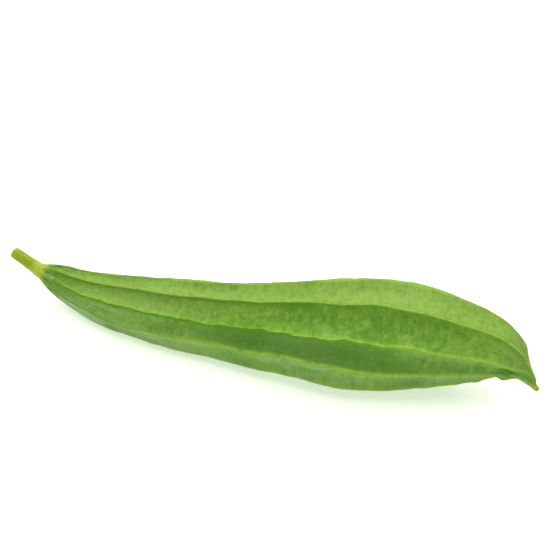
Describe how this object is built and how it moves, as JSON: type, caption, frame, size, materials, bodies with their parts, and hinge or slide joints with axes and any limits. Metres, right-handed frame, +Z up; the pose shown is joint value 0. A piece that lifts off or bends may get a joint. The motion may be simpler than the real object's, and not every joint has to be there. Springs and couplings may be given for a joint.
{
  "type": "ridge gourd",
  "caption": "Long ribbed green gourd, slim at the cut stalk and thick towards a hooked tip with a dry flower base, lying on two of its ridges.",
  "frame": {"origin": "on the table, under the middle of the gourd's bounding box", "axes": "+X along the gourd from its stalk to its flower end, +Z up from the table, and +Y across, away from the side that the picture shows"},
  "size_m": [0.3075, 0.0637, 0.0594],
  "materials": {
    "skin": "satin",
    "stalk": "matte",
    "flower_base": "matte"
  },
  "bodies": {
    "root": {"fruit": "skin", "stalk": "stalk", "flower_base": "flower_base"}
  },
  "joints": []
}
